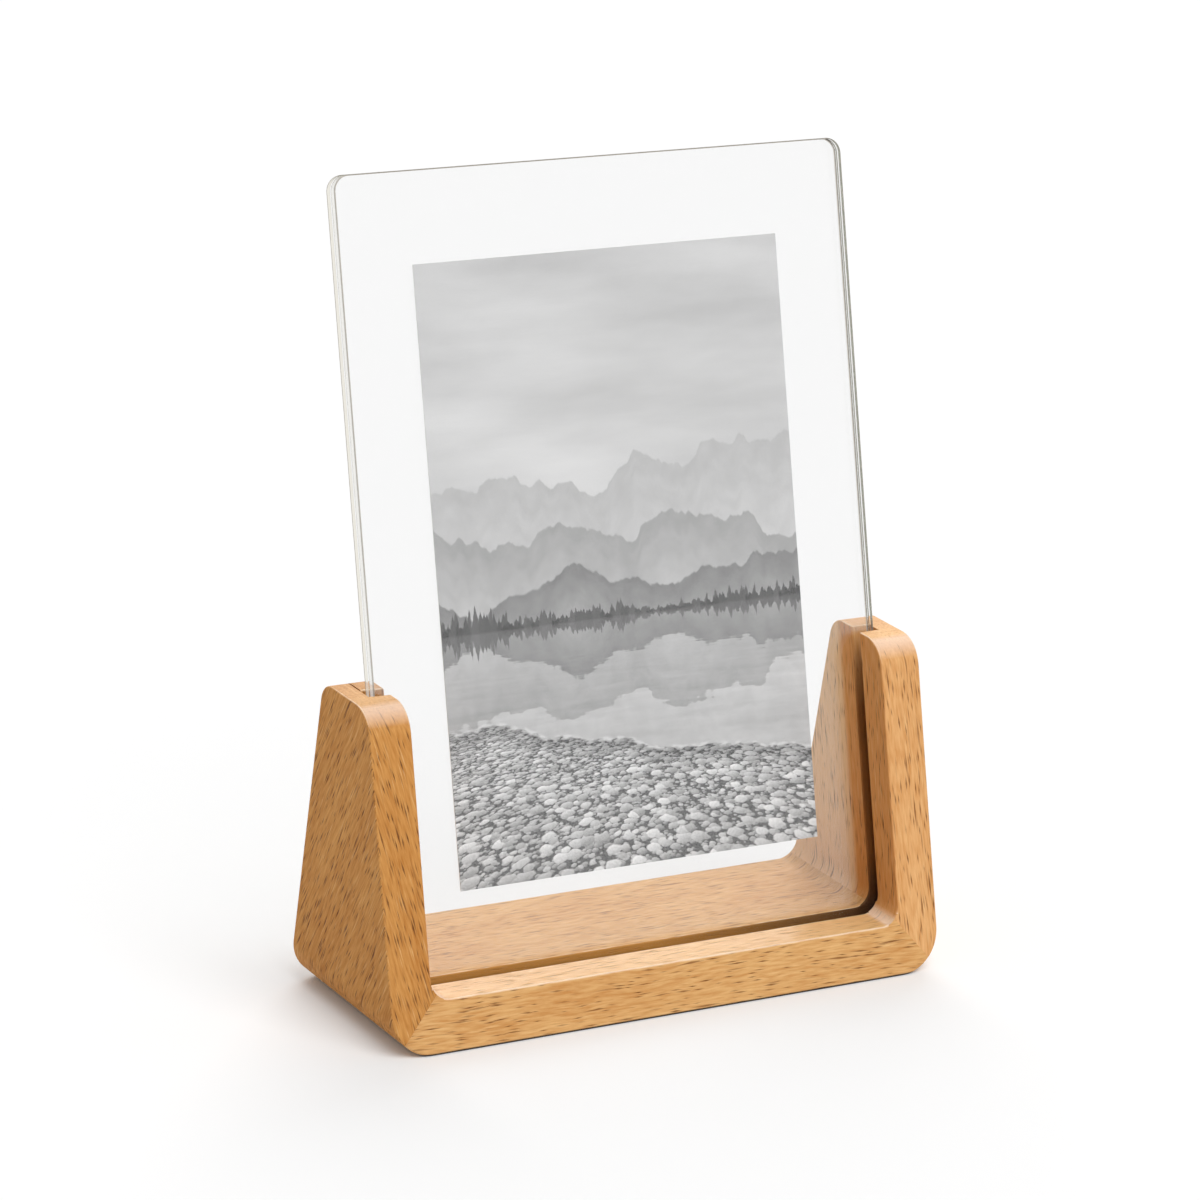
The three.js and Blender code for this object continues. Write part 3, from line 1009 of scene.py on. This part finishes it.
@dataclass
class BeechStand:
    """The mitred stand: rail, uprights and the strips behind the sheets, with dowels in the mitres.

    Slants are degrees between the grain and the board. Shares run from 0 to 1, as parts of a normal do.
    """

    lean: Lean
    arris: float = 0.42
    foot_arris: float = 0.8
    foot_height: float = 6.0
    arris_steps: int = 3
    highlight_from: float = 0.3
    side_arris: float = 0.04
    rear_rubbed_and_sheen: float = 0.25
    groove_room: float = 0.6
    glue_line: float = 0.1
    hairline: float = 0.012
    open_seam: float = 0.45
    seam_reach: float = 0.3
    seam_square: float = 0.999
    mitre_square: float = 0.01
    mitre_slope: float = 0.1
    level_from: float = 0.9
    outer_slant: float = 30.0
    left_slant: float = 12.0
    right_slant: float = 3.0
    rail_slant: float = -1.0
    end_grain_from: float = 0.62
    end_grain_full: float = 0.97
    rail_log: Triple = (31.0, 7.0, 13.0)
    upright_log: Triple = (57.0, 23.0, 41.0)
    side_log: Triple = (0.0, 11.0, 0.0)
    strip_log: Triple = (83.0, 5.0, 9.0)

    def __post_init__(self) -> None:
        """Finds the dowels, the room that they take, the end of the sheets' slot and the groove."""
        self.dowels: list[str] = sorted(name for name in frame["nodes"] if name.endswith("_dowel"))
        self.bores: list[tuple[Vector, Vector]] = [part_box(name) for name in self.dowels]
        self.slot_end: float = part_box("right_rear_strip")[1].x
        self.groove_front = self.lean.extent("front_sheet")[0].y / MM - self.groove_room
        self.groove_rear = self.lean.extent("rear_sheet")[1].y / MM + self.groove_room
        self.groove_width = self.groove_rear - self.groove_front - self.groove_room

    def boards(self) -> list[Board]:
        """Lists the boards with their finishes and the way their grain runs.

        Returns:
            The rail, the uprights and the rear strips.
        """
        pale_ray = Tint("#7a4819", OiledBeech.ray.share)
        rail = OiledBeech(
            name="beech_rail_oiled",
            pale="#e5b77a",
            deep="#c68b4c",
            ray=pale_ray,
            # The rail's groove colour is painted shade.
            groove="#d29449",
            short_rays=Dashes(8.5, 0.8, share=0.8, reach=0.36),
            long_rays=Dashes(20.0, 1.15, share=0.5, reach=0.34),
        )
        left = OiledBeech(name="beech_left_upright_oiled", pale="#d59b55", deep="#b0702e")
        right = OiledBeech(
            name="beech_right_upright_oiled",
            pale="#e8b47a",
            deep="#ca8b4c",
            ray=pale_ray,
            short_rays=Dashes(8.0, 0.85, share=0.8, reach=0.38),
        )
        rise = math.radians(self.rail_slant)
        rail_along = Vector((math.cos(rise), 0, math.sin(rise)))
        made = [Board("base_rail", rail, rail_along, Vector(self.rail_log))]
        slant = math.radians(self.outer_slant)
        outer_along = Vector((0, -math.sin(slant), math.cos(slant)))
        uprights = {Side.LEFT: (left, self.left_slant), Side.RIGHT: (right, self.right_slant)}
        for side, (finish, front_slant) in uprights.items():
            name = side.name.lower()
            along = self.lean.up - RIGHT * math.tan(math.radians(front_slant))
            outward = RIGHT * side.value
            place = Vector(self.upright_log) + Vector(self.side_log) * side.value
            strip_place = place + Vector(self.strip_log)
            made.append(Board(f"{name}_upright", finish, along, place, outward, outer_along))
            made.append(Board(f"{name}_rear_strip", finish, self.lean.up, strip_place, outward))
        return made

    def build(self) -> None:
        """Makes every board and dresses the dowels."""
        finishes: dict[str, bpy.types.Material] = {}
        for board in self.boards():
            if board.finish.name not in finishes:
                finishes[board.finish.name] = board.finish.material()
            piece = self._board(board)
            piece.data.materials.append(finishes[board.finish.name])
            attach(piece, "stand")
            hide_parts(board.node)
            log.info("%s stands for %s", piece.name, board.node)
        turned = TURNED_DOWEL.material()
        for dowel in self.dowels:
            frame["nodes"][dowel].data.materials.clear()
            frame["nodes"][dowel].data.materials.append(turned)
            log.info("%s keeps its shape", dowel)

    def _board(self, board: Board) -> bpy.types.Object:
        """Makes one board from its node, with sanded arrises and its grain laid out.

        Args:
            board: the board to make.

        Returns:
            The new piece.
        """
        shape = bmesh.new()
        shape.from_mesh(frame["nodes"][board.node].data)
        bmesh.ops.remove_doubles(shape, verts=shape.verts, dist=WELD_DISTANCE * MM)
        bmesh.ops.dissolve_limit(shape, angle_limit=FLAT_ANGLE, verts=shape.verts, edges=shape.edges)
        self._set_joints(shape)
        self._mark_arrises(shape)
        sawn = new_mesh("sawn_" + board.node, shape)
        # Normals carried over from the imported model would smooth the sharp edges.
        sawn.attributes.remove(sawn.attributes["custom_normal"])
        piece = new_object("beech_" + board.node, sawn)
        self._round_arrises(piece)
        self._lay_grain(piece.data, board)
        flat_faces = piece.modifiers.new("flat_faces", "WEIGHTED_NORMAL")
        flat_faces.keep_sharp = True
        return piece

    def _set_joints(self, shape: bmesh.types.BMesh) -> None:
        """Closes the joints to a hairline, except the left strip's seam, which stands open and shows.

        Args:
            shape: the board, which is changed.
        """
        moves = {}
        for face in shape.faces:
            if self._is_mitre(face) or self._is_seam(face):
                on_left = self._is_seam(face) and face.calc_center_median().x < 0
                gap = self.open_seam if on_left else self.hairline
                move = face.normal * (self.glue_line - gap) / 2 * MM
                moves.update({vertex: move for vertex in face.verts})
        for vertex, move in moves.items():
            vertex.co += move

    def _mark_arrises(self, shape: bmesh.types.BMesh) -> None:
        """Marks how wide the arris on each sharp edge is, wider at the foot, and none in the joints.

        Args:
            shape: the board, whose edges are marked.
        """
        widths = shape.edges.layers.float.new("bevel_weight_edge")
        joints = {face for face in shape.faces if self._is_joint(face)}
        for edge in shape.edges:
            if edge.calc_face_angle(0.0) > SHARP_ANGLE and joints.isdisjoint(edge.link_faces):
                height = max(vertex.co.z for vertex in edge.verts) / MM
                near_floor = max(1 - height / self.foot_height, 0.0)
                edge[widths] = 1 - (1 - self.arris / self.foot_arris) * (1 - near_floor)

    def _round_arrises(self, piece: bpy.types.Object) -> None:
        """Rounds the marked arrises, with material index 1 on them.

        Args:
            piece: the board, which gets a new mesh.
        """
        sawn = piece.data
        sawn.materials.append(None)
        sawn.materials.append(None)
        arris = piece.modifiers.new("arris", "BEVEL")
        arris.limit_method = "WEIGHT"
        arris.width = self.foot_arris * MM
        arris.segments = self.arris_steps
        arris.use_clamp_overlap = False
        arris.material = 1
        bpy.context.view_layer.update()
        rounded = piece.evaluated_get(bpy.context.evaluated_depsgraph_get())
        piece.data = bpy.data.meshes.new_from_object(rounded)
        piece.data.name = piece.name
        piece.modifiers.clear()
        bpy.data.meshes.remove(sawn)
        piece.data.shade_smooth()
        piece.data.set_sharp_from_angle(angle=SHARP_ANGLE)

    def _is_mitre(self, face: bmesh.types.BMFace) -> bool:
        """Tells whether a face lies in a mitre."""
        slope = face.normal.x * face.normal.z * math.copysign(1.0, face.calc_center_median().x)
        return abs(face.normal.y) < self.mitre_square and slope > self.mitre_slope

    def _is_seam(self, face: bmesh.types.BMFace) -> bool:
        """Tells whether a face is glued to a rear strip, or is the strip's own glued face."""
        off = abs(abs(face.calc_center_median().x) - self.slot_end)
        return abs(face.normal.x) > self.seam_square and off < self.seam_reach * MM

    def _is_joint(self, face: bmesh.types.BMFace) -> bool:
        """Tells whether a face is glued.

        Args:
            face: a face of a board.

        Returns:
            Whether it is in a mitre, against a rear strip or in a dowel's bore.
        """
        centre = face.calc_center_median()
        room = Vector((MM, MM, MM))
        bored = False
        for low, high in self.bores:
            spans = zip(low - room, centre, high + room)
            bored = bored or all(least < place < most for least, place, most in spans)
        return bored or self._is_mitre(face) or self._is_seam(face)

    def _lay_grain(self, mesh: bpy.types.Mesh, board: Board) -> None:
        """Stores each corner's place in the log, how the board was made and used, and where painted light
        goes.

        Args:
            mesh: the board's mesh, with material index 1 on its arrises.
            board: the board that the mesh is of.
        """
        along = board.along.normalized()
        end_reach = self.end_grain_full - self.end_grain_from
        places: list[float] = []
        stored: dict[str, list[float]] = {name: [] for name in STORED}
        for polygon in mesh.polygons:
            axes = board.axes_at(polygon.normal, self.lean.axes)
            middle = polygon.center.dot(self.lean.rearward) / MM
            between = abs(polygon.center.x) < self.slot_end + MM
            # Faces in the groove get painted shade.
            in_groove = between and self.groove_front < middle < self.groove_rear
            in_groove = in_groove and abs(polygon.normal.z) < self.level_from
            # Arrises get a painted highlight, most where they face up and least where they face outward.
            painted_highlight = max((polygon.normal.z - self.highlight_from) / (1 - self.highlight_from), self.side_arris)
            painted_highlight *= 1 - max(polygon.normal.dot(board.outward), 0.0)
            for corner in polygon.loop_indices:
                place = mesh.vertices[mesh.loops[corner].vertex_index].co / MM
                places.extend(Vector([place.dot(axis) for axis in axes]) + board.log_place)
                normal = mesh.corner_normals[corner].vector
                end_grain = (abs(normal.dot(along)) - self.end_grain_from) / end_reach
                depth = place.dot(self.lean.rearward) - self.groove_rear
                # Behind the sheets the level faces get less smoothing and less painted sheen.
                rubbing_and_sheen = self.rear_rubbed_and_sheen if depth > -self.groove_width else 1.0
                # The inner faces get painted bounce shade, and a painted veil by their depth behind the
                # sheets.
                values = (
                    min(max(end_grain, 0.0), 1.0),
                    polygon.material_index * painted_highlight,
                    max(normal.z, 0.0) * rubbing_and_sheen,
                    float(in_groove),
                    max(-normal.dot(board.outward), 0.0),
                    depth,
                )
                for name, value in zip(STORED, values):
                    stored[name].append(value)
        mesh.materials.clear()
        mesh.attributes.new("grain", "FLOAT_VECTOR", "CORNER").data.foreach_set("vector", places)
        for name, values in stored.items():
            mesh.attributes.new(name, "FLOAT", "CORNER").data.foreach_set("value", values)


@dataclass
class ClearSheets:
    """The two clear sheets that stand in the groove with the print between them."""

    lean: Lean
    corner_radius: float = 4.0
    outer_arris: float = 0.3
    inner_arris: float = 0.06
    corner_steps: int = 20
    arris_steps: int = 3

    def build(self) -> None:
        """Makes both sheets."""
        # The edges' colour rows paint light: lines of painted highlight and shade, and painted reflections.
        front_edge = PolishedEdge(
            name="acrylic_front_edge_polished",
            outside=((0.0, "#b4b1aa"), (0.3, "#faf9f6"), (1.85, "#b0ada4")),
            inside=((0.0, "#85857a"), (0.3, "#a0a094")),
        )
        rear_edge = PolishedEdge(
            name="acrylic_rear_edge_polished",
            outside=((0.0, "#f2efe6"), (1.4, "#cdc3b4")),
            inside=(
                (0.0, "#8c8c80"),
                (0.4, "#a6a69b"),
                (0.8, "#cbcbc4"),
                (1.2, "#f4f4f2"),
                (1.85, "#dcdcd6"),
            ),
        )
        clear = CastFace().material()
        sheets = {
            "front_sheet": (front_edge, self.outer_arris, self.inner_arris),
            "rear_sheet": (rear_edge, self.inner_arris, self.outer_arris),
        }
        for node, (edge, front, rear) in sheets.items():
            piece = self._sheet(node, front, rear)
            piece.data.materials.append(clear)
            piece.data.materials.append(edge.material())
            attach(piece, node)
            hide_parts(node)
            log.info("%s stands for %s", piece.name, node)

    def _outline(self, width: float, height: float, inset: float) -> list[Span]:
        """Draws a sheet's rounded outline from its foot, drawn in by an inset.

        Args:
            width: the sheet's width in metres.
            height: the sheet's height in metres.
            inset: how far the outline is drawn in, in metres.

        Returns:
            Points across and up, counterclockwise as the viewer sees them.
        """
        radius = self.corner_radius * MM
        corners = [
            (width / 2 - radius, radius, -90),
            (width / 2 - radius, height - radius, 0),
            (radius - width / 2, height - radius, 90),
            (radius - width / 2, radius, 180),
        ]
        points = []
        for across, up, start in corners:
            for step in range(self.corner_steps + 1):
                angle = math.radians(start + 90 * step / self.corner_steps)
                reach = radius - inset
                points.append((across + reach * math.cos(angle), up + reach * math.sin(angle)))
        return points

    def _sheet(self, node: str, front: float, rear: float) -> bpy.types.Object:
        """Makes one sheet with round corners and rounded arrises.

        Args:
            node: the sheet's node.
            front: the width of the arris round its front face.
            rear: the width of the arris round its rear face.

        Returns:
            The new piece.
        """
        low, high = self.lean.extent(node)
        size = high - low
        turns = [math.radians(90 * step / self.arris_steps) for step in range(self.arris_steps + 1)]
        rounds = [(1 - math.cos(turn), 1 - math.sin(turn)) for turn in turns]
        rings = [(front * MM * depth, front * MM * inset) for inset, depth in reversed(rounds)]
        rings += [(size.y - rear * MM * depth, rear * MM * inset) for inset, depth in rounds]
        shape = bmesh.new()
        loops = []
        for depth, inset in rings:
            outline = self._outline(size.x, size.z, inset)
            loops.append([shape.verts.new((across, depth, up)) for across, up in outline])
        shape.faces.new(loops[0])
        shape.faces.new(reversed(loops[-1]))
        count = len(loops[0])
        for near, far in zip(loops, loops[1:]):
            for place in range(count):
                after = (place + 1) % count
                rim = shape.faces.new((near[after], near[place], far[place], far[after]))
                rim.smooth = True
                rim.material_index = 1
        shape.normal_update()
        piece = new_object("clear_" + node, new_mesh("clear_" + node, shape))
        self.lean.stand_up(piece, node)
        return piece


@dataclass
class PaperPrint:
    """The print that stands between the sheets."""

    lean: Lean
    columns: int = 20
    rows: int = 30
    cockle: float = 0.06
    cockle_size: float = 40.0

    def build(self) -> None:
        """Makes the print, with its picture in front and bare paper behind."""
        piece = self._sheet()
        piece.data.materials.append(LandscapePrint().material())
        piece.data.materials.append(PAPER_BACK.material())
        piece.visible_shadow = False
        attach(piece, "photo_print")
        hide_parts("photo_print")
        log.info("%s stands for photo_print", piece.name)

    def _side(self, shape: bmesh.types.BMesh, size: Vector, depth: float) -> list[list[bmesh.types.BMVert]]:
        """Lays out the points of one side of the paper, which is a little cockled.

        Args:
            shape: the paper, which gets the points.
            size: its size across, rearward and up, in metres.
            depth: the side's depth behind the front, in metres.

        Returns:
            Rows of points from the foot up.
        """
        made = []
        for row in range(self.rows + 1):
            line = []
            for column in range(self.columns + 1):
                across = size.x * (column / self.columns - 0.5)
                up = size.z * row / self.rows
                wave = noise.noise(Vector((across, up, 0.0)) / (self.cockle_size * MM))
                line.append(shape.verts.new((across, depth + wave * self.cockle * MM, up)))
            made.append(line)
        return made

    def _sheet(self) -> bpy.types.Object:
        """Makes the paper, which lies almost flat between the sheets.

        Returns:
            The new piece.
        """
        low, high = self.lean.extent("photo_print")
        size = high - low
        shape = bmesh.new()
        front, back = [self._side(shape, size, depth) for depth in (0.0, size.y)]
        for row in range(self.rows):
            for column in range(self.columns):
                places = ((row, column), (row, column + 1), (row + 1, column + 1), (row + 1, column))
                picture = shape.faces.new([front[r][c] for r, c in places])
                picture.smooth = True
                paper = shape.faces.new([back[r][c] for r, c in reversed(places)])
                paper.smooth = True
                paper.material_index = 1
        rim = [(0, column) for column in range(self.columns)]
        rim += [(row, self.columns) for row in range(self.rows)]
        rim += [(self.rows, column) for column in range(self.columns, 0, -1)]
        rim += [(row, 0) for row in range(self.rows, 0, -1)]
        for (row, column), (next_row, next_column) in zip(rim, rim[1:] + rim[:1]):
            near = (front[next_row][next_column], front[row][column])
            far = (back[row][column], back[next_row][next_column])
            cut = shape.faces.new(near + far)
            cut.material_index = 1
        shape.normal_update()
        mesh = new_mesh("landscape_print", shape)
        mesh.set_sharp_from_angle(angle=SHARP_ANGLE)
        piece = new_object("landscape_print", mesh)
        self.lean.stand_up(piece, "photo_print")
        return piece


@dataclass(frozen=True)
class Lamp:
    """A broad soft lamp far away, with the share of plain light that it gives a surface facing it."""

    name: str
    direction: Triple
    level: float
    spread: float


@dataclass
class Studio:
    """The camera, the pale floor and the soft light."""

    camera_place: Triple = (-590.01, -1006.84, 468.15)
    yaw: float = 29.933
    pitch: float = -17.589
    roll: float = 2.735
    focal_pixels: float = 4988.64
    nearest: float = 10.0
    floor_reach: float = 9000.0
    floor_parts: int = 8
    lamps: tuple[Lamp, ...] = (
        Lamp("key", (0.04, -0.55, 0.83), level=0.62, spread=45.0),
        Lamp("rear", (0.35, 0.70, 0.62), level=0.45, spread=45.0),
    )
    sky_light: float = 0.36
    room_behind: Triple = (0.0, 0.6, 0.8)
    room_span: Span = (-0.6, 0.2)
    room_light: Span = (0.9, 1.0)

    def build(self) -> None:
        """Makes the camera, floor, lamps and world."""
        self._camera()
        self._floor()
        for lamp in self.lamps:
            self._lamp(lamp)
        self._world()
        bpy.context.scene.view_settings.view_transform = "Standard"
        log.info("studio is set")

    def _camera(self) -> None:
        """Places the camera where the photograph was taken from."""
        data = bpy.data.cameras.new("camera")
        data.sensor_width = SENSOR_WIDTH
        data.lens = SENSOR_WIDTH * self.focal_pixels / IMAGE_PIXELS
        data.clip_start = self.nearest * MM
        camera = new_object("camera", data)
        turn = Matrix.Rotation(math.radians(-self.yaw), 4, "Z")
        tilt = Matrix.Rotation(math.radians(90 + self.pitch), 4, "X")
        cant = Matrix.Rotation(math.radians(self.roll), 4, "Z")
        place = Matrix.Translation(Vector(self.camera_place) * MM)
        camera.matrix_world = place @ turn @ tilt @ cant
        bpy.context.scene.camera = camera

    def _floor(self) -> None:
        """Makes the floor that the frame stands on."""
        shape = bmesh.new()
        parts = {"x_segments": self.floor_parts, "y_segments": self.floor_parts}
        bmesh.ops.create_grid(shape, size=self.floor_reach * MM, **parts)
        floor = new_object("floor", new_mesh("floor", shape))
        floor.data.materials.append(PaleFloor().material())

    def _lamp(self, lamp: Lamp) -> None:
        """Makes one lamp.

        Args:
            lamp: where it shines from, and how much.
        """
        data = bpy.data.lights.new(lamp.name, "SUN")
        data.energy = lamp.level * math.pi
        data.angle = math.radians(lamp.spread)
        made = new_object(lamp.name, data)
        made.rotation_euler = Vector(lamp.direction).to_track_quat("Z", "Y").to_euler()

    def _world(self) -> None:
        """Makes the white surroundings: white to the eye, softer as a light, and dimmer in front."""
        world = bpy.data.worlds.new("white_studio")
        world.use_nodes = True
        world.node_tree.nodes.clear()
        add = partial(add_node, world.node_tree)
        direction = add("TexCoord", out="Generated")
        behind = add("VectorMath DOT_PRODUCT", [direction, self.room_behind], "Value")
        room = add("MapRange", [behind, *self.room_span, *self.room_light])
        seen = add("LightPath", out="Is Camera Ray")
        paths = seen.node.outputs
        shown = add("Math MAXIMUM", [seen, paths["Is Transmission Ray"]])
        mirrored = add("Mix FLOAT", [paths["Is Glossy Ray"], self.sky_light, room])
        strength = add("Mix FLOAT", [shown, mirrored, 1.0])
        background = add("Background", {"Color": linear("#ffffff"), "Strength": strength})
        add("OutputWorld", [background])
        bpy.context.scene.world = world


def main() -> None:
    """Builds the studio, the stand, the sheets and the print."""
    logging.basicConfig(level=logging.INFO, format="%(name)s: %(message)s")
    lean = Lean.from_joints()
    Studio().build()
    BeechStand(lean).build()
    ClearSheets(lean).build()
    PaperPrint(lean).build()


if __name__ == "__main__":
    main()
